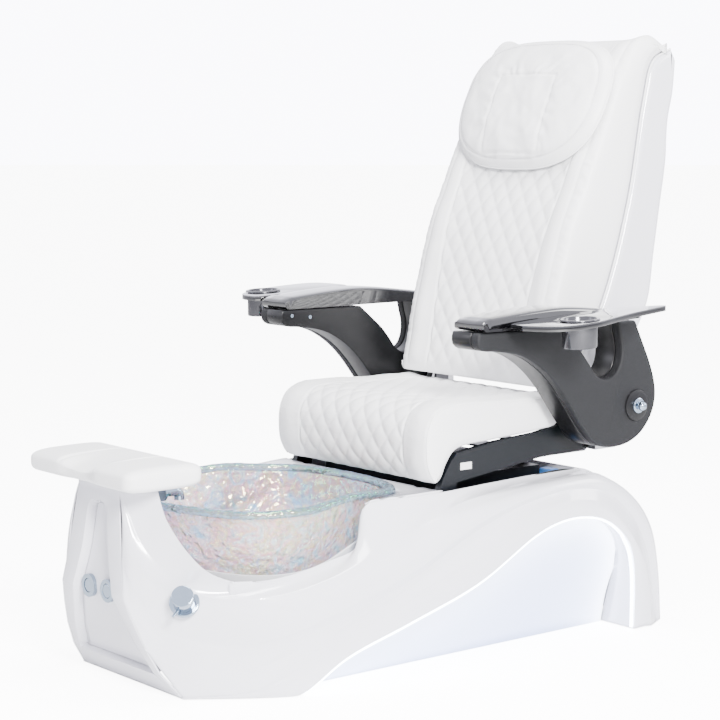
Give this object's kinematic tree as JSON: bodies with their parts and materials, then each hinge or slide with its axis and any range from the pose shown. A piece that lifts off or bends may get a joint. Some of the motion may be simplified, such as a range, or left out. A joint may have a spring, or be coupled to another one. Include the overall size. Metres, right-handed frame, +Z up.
{
  "type": "pedicure spa chair",
  "caption": "Pedicure chair with a sculpted lit base, glass foot bowl, footrest, sliding seat, quilted reclining back, lifting arms and swing trays.",
  "frame": {"origin": "on the floor, at the middle of the chair's width, under the front edge of the seat", "axes": "+Z is up, -Y is the way the sitter faces, +X is the sitter's left"},
  "size_m": [1.116, 1.546, 1.4076],
  "materials": {
    "gelcoat": "gloss",
    "light_panel": "satin",
    "led": "satin",
    "steel": "satin",
    "aluminium": "satin",
    "glass": "polished",
    "rubber": "matte",
    "chrome": "polished",
    "black_plastic": "satin",
    "clear_plastic": "gloss",
    "blue_plastic": "satin",
    "textured_plastic": "matte",
    "gloss_black": "polished",
    "white_label": "satin",
    "upholstery": "satin",
    "pad_foam": "matte",
    "white_plastic": "gloss"
  },
  "bodies": {
    "root": {"base_shell": "gelcoat", "bowl_well": "gelcoat", "deck_well": "black_plastic", "base_frame": "steel", "front_access_panel": "gelcoat", "light_panel_left": "light_panel", "light_panel_right": "light_panel", "led_strip_left": "led", "led_strip_right": "led", "rear_access_panel": "gelcoat", "rear_panel_screws": "steel", "glass_bowl": "glass", "bowl_gasket": "rubber", "drain_fitting": "chrome", "jet_housing": "clear_plastic", "jet_motor": "black_plastic", "mixer_escutcheon": "chrome", "water_spout": "chrome", "button_bezels": "chrome", "footrest_sleeve": "gelcoat", "pedestal_box": "black_plastic", "slide_rails": "steel", "slide_motor": "black_plastic", "hose_coupling": "blue_plastic", "power_inlet": "black_plastic"},
    "jet": {"jet_impeller": "clear_plastic"},
    "mixer": {"mixer_knob": "chrome", "mixer_lever": "chrome"},
    "button_left": {"button_left": "chrome"},
    "button_right": {"button_right": "chrome"},
    "footrest": {"footrest_post": "steel", "footrest_pad": "pad_foam"},
    "seat": {"seat_frame": "steel", "slide_carriages": "aluminium", "seat_cushion": "upholstery", "seat_cover_left": "black_plastic", "seat_cover_right": "black_plastic", "arm_bracket_left": "aluminium", "arm_bracket_right": "aluminium", "label_plate": "white_label"},
    "backrest": {"back_frame": "steel", "back_shell": "white_plastic", "back_cushion": "upholstery", "headrest_pillow": "upholstery", "massage_rails": "steel"},
    "massage": {"massage_carriage": "black_plastic"},
    "arm_left": {"arm_frame_left": "black_plastic", "arm_cover_left": "textured_plastic", "armrest_left": "gloss_black", "arm_bolt_left": "chrome", "tray_bracket_left": "black_plastic"},
    "tray_left": {"tray_left": "gloss_black", "cup_holder_left": "gloss_black"},
    "arm_right": {"arm_frame_right": "black_plastic", "arm_cover_right": "textured_plastic", "armrest_right": "gloss_black", "arm_bolt_right": "chrome", "tray_bracket_right": "black_plastic"},
    "tray_right": {"tray_right": "gloss_black", "cup_holder_right": "gloss_black"}
  },
  "joints": [
    {"name": "jet_spin", "type": "hinge", "parent": "root", "child": "jet", "pos_m": [0, -0.25, 0.19], "axis": [0, 0, 1], "continuous": true},
    {"name": "mixer_turn", "type": "hinge", "parent": "root", "child": "mixer", "pos_m": [0.202, -0.629, 0.207], "axis": [0.6634, -0.5567, 0.5], "range_deg": [-60, 60]},
    {"name": "button_left_press", "type": "slide", "parent": "root", "child": "button_left", "axis": [0, 1, 0], "range_m": [0, 0.004], "stiffness_N_per_m": 500, "springref_m": -0.003},
    {"name": "button_right_press", "type": "slide", "parent": "root", "child": "button_right", "axis": [0, 1, 0], "range_m": [0, 0.004], "stiffness_N_per_m": 500, "springref_m": -0.003},
    {"name": "footrest_height", "type": "slide", "parent": "root", "child": "footrest", "axis": [0, 0, 1], "range_m": [0, 0.04]},
    {"name": "seat_slide", "type": "slide", "parent": "root", "child": "seat", "axis": [0, 1, 0], "range_m": [-0.06, 0.03]},
    {"name": "back_recline", "type": "hinge", "parent": "seat", "child": "backrest", "pos_m": [0, 0.44, 0.522], "axis": [-1, 0, 0], "range_deg": [0, 38]},
    {"name": "massage_travel", "type": "slide", "parent": "backrest", "child": "massage", "axis": [0, 0.1864, 0.9825], "range_m": [0, 0.2]},
    {"name": "arm_left_lift", "type": "hinge", "parent": "seat", "child": "arm_left", "pos_m": [0.36, 0.509, 0.543], "axis": [-1, 0, 0], "range_deg": [0, 75]},
    {"name": "arm_right_lift", "type": "hinge", "parent": "seat", "child": "arm_right", "pos_m": [-0.36, 0.509, 0.543], "axis": [-1, 0, 0], "range_deg": [0, 75]},
    {"name": "tray_left_swing", "type": "hinge", "parent": "arm_left", "child": "tray_left", "pos_m": [0.436, 0.43, 0.7775], "axis": [0, -0.0499, 0.9988], "range_deg": [0, 55]},
    {"name": "tray_right_swing", "type": "hinge", "parent": "arm_right", "child": "tray_right", "pos_m": [-0.43, 0.284, 0.7832], "axis": [0, 0.0499, -0.9988], "range_deg": [0, 60]}
  ]
}
